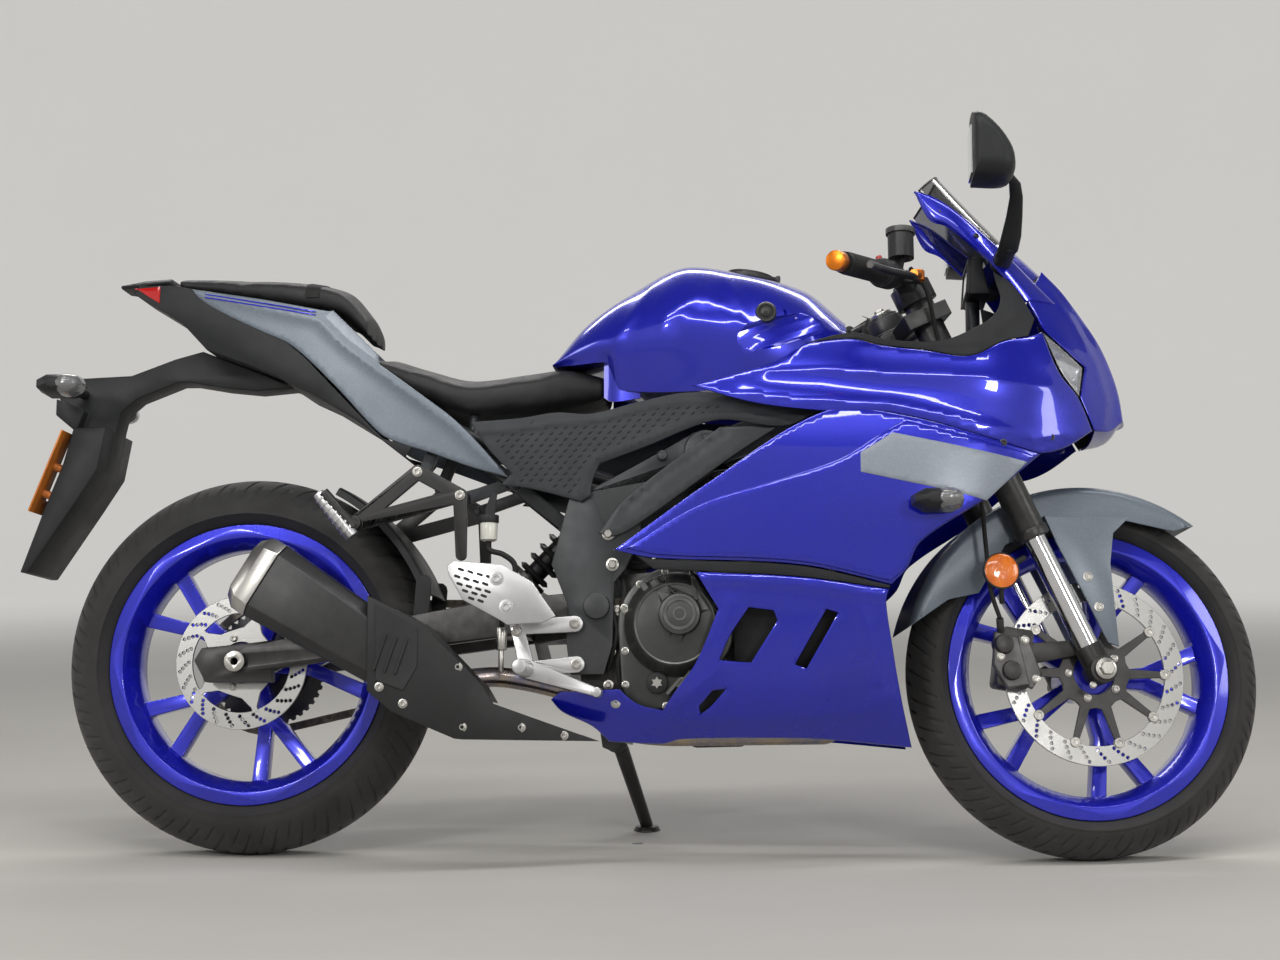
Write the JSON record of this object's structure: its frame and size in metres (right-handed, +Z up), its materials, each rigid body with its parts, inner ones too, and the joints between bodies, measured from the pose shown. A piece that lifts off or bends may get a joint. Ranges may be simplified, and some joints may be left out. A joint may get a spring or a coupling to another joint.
{
  "type": "sport motorcycle",
  "caption": "Faired sport motorcycle leaning on its side stand, with turned steering, wheels that spin and a hinged fuel cap.",
  "frame": {"origin": "middle of the bounding box on the floor plane", "axes": "+X forward along the bike, +Y to the bike's left, towards which it leans, +Z up from the floor"},
  "size_m": [2.0556, 0.7802, 1.1715],
  "materials": {
    "tyre_rubber": "matte",
    "wheel_blue": "gloss",
    "tank_blue": "gloss",
    "body_blue": "gloss",
    "slate_panel": "satin",
    "black_plastic": "satin",
    "grey_plastic": "grained",
    "frame_grey": "satin",
    "engine_dark": "satin",
    "cover_dark": "satin",
    "black_metal": "satin",
    "disc_steel": "ground",
    "chain_steel": "oiled",
    "pipe_steel": "heat tinted",
    "cap_steel": "brushed",
    "axle_steel": "plated",
    "fork_chrome": "polished",
    "rearset_silver": "satin",
    "radiator_black": "matte",
    "orange_anodised": "anodised",
    "grip_rubber": "ribbed",
    "seat_cover": "grained",
    "lamp_clear": "clear",
    "lamp_red": "tinted",
    "lamp_amber": "prismatic",
    "screen_smoke": "tinted",
    "mirror_face": "silvered"
  },
  "bodies": {
    "chassis": {"belly_pan": "black_plastic", "dash": "black_plastic", "drive_chain": "chain_steel", "engine_cases": "engine_dark", "engine_covers": "cover_dark", "exhaust_cover": "black_plastic", "fairing_trim": "black_plastic", "filler_ring": "black_metal", "fuel_tank": "tank_blue", "header_pipes": "pipe_steel", "headlights": "lamp_clear", "hugger": "black_plastic", "knee_covers": "grey_plastic", "lower_fairing": "body_blue", "main_frame": "frame_grey", "mid_fairing": "body_blue", "mirror_glass": "mirror_face", "mirrors": "black_plastic", "muffler_body": "black_metal", "muffler_end_cap": "cap_steel", "nose_cowl": "body_blue", "pillion_pegs": "black_metal", "pillion_seat": "seat_cover", "plate_bracket": "orange_anodised", "plate_carrier": "black_plastic", "radiator": "radiator_black", "rear_axle": "axle_steel", "rear_caliper": "black_metal", "rear_shock": "black_metal", "rearsets": "rearset_silver", "rider_seat": "seat_cover", "swingarm": "black_metal", "tail_light": "lamp_red", "tail_lower": "black_plastic", "tail_panels": "slate_panel", "turn_signals": "black_plastic", "upper_cowl": "body_blue", "windscreen": "screen_smoke"},
    "front_wheel": {"front_tyre": "tyre_rubber", "front_rim": "wheel_blue", "front_disc": "disc_steel"},
    "rear_wheel": {"rear_tyre": "tyre_rubber", "rear_rim": "wheel_blue", "rear_disc": "disc_steel", "rear_sprocket": "axle_steel"},
    "steering": {"triple_clamps": "black_metal", "fork_outer_tubes": "black_metal", "fork_inner_tubes": "fork_chrome", "fork_bottoms": "black_metal", "front_axle": "axle_steel", "clip_ons": "black_metal", "grips": "grip_rubber", "bar_ends": "orange_anodised", "levers": "black_metal", "front_fender": "slate_panel", "front_caliper": "black_metal", "reflectors": "lamp_amber"},
    "side_stand": {"side_stand": "black_metal"},
    "filler_lid": {"filler_lid": "black_metal"}
  },
  "joints": [
    {"name": "steering_head", "type": "hinge", "parent": "chassis", "child": "steering", "pos_m": [0.70566, -0.08843, 0.27277], "axis": [-0.4211, 0.1261, 0.8982], "range_deg": [-46, 22]},
    {"name": "front_wheel_spin", "type": "hinge", "parent": "steering", "child": "front_wheel", "pos_m": [0.73913, -0.07849, 0.28707], "axis": [-0.1888, 0.9564, -0.2228], "continuous": true},
    {"name": "rear_wheel_spin", "type": "hinge", "parent": "chassis", "child": "rear_wheel", "pos_m": [-0.64009, -0.08328, 0.31165], "axis": [-0.0002, 0.9903, -0.1392], "continuous": true},
    {"name": "side_stand_fold", "type": "hinge", "parent": "chassis", "child": "side_stand", "pos_m": [-0.03632, 0.03313, 0.17611], "axis": [0.0535, 0.8588, 0.5095], "range_deg": [0, 95]},
    {"name": "fuel_cap_hinge", "type": "hinge", "parent": "chassis", "child": "filler_lid", "pos_m": [0.247, 0.00809, 0.96027], "axis": [-0.0002, 0.9903, -0.1392], "range_deg": [0, 95]}
  ]
}
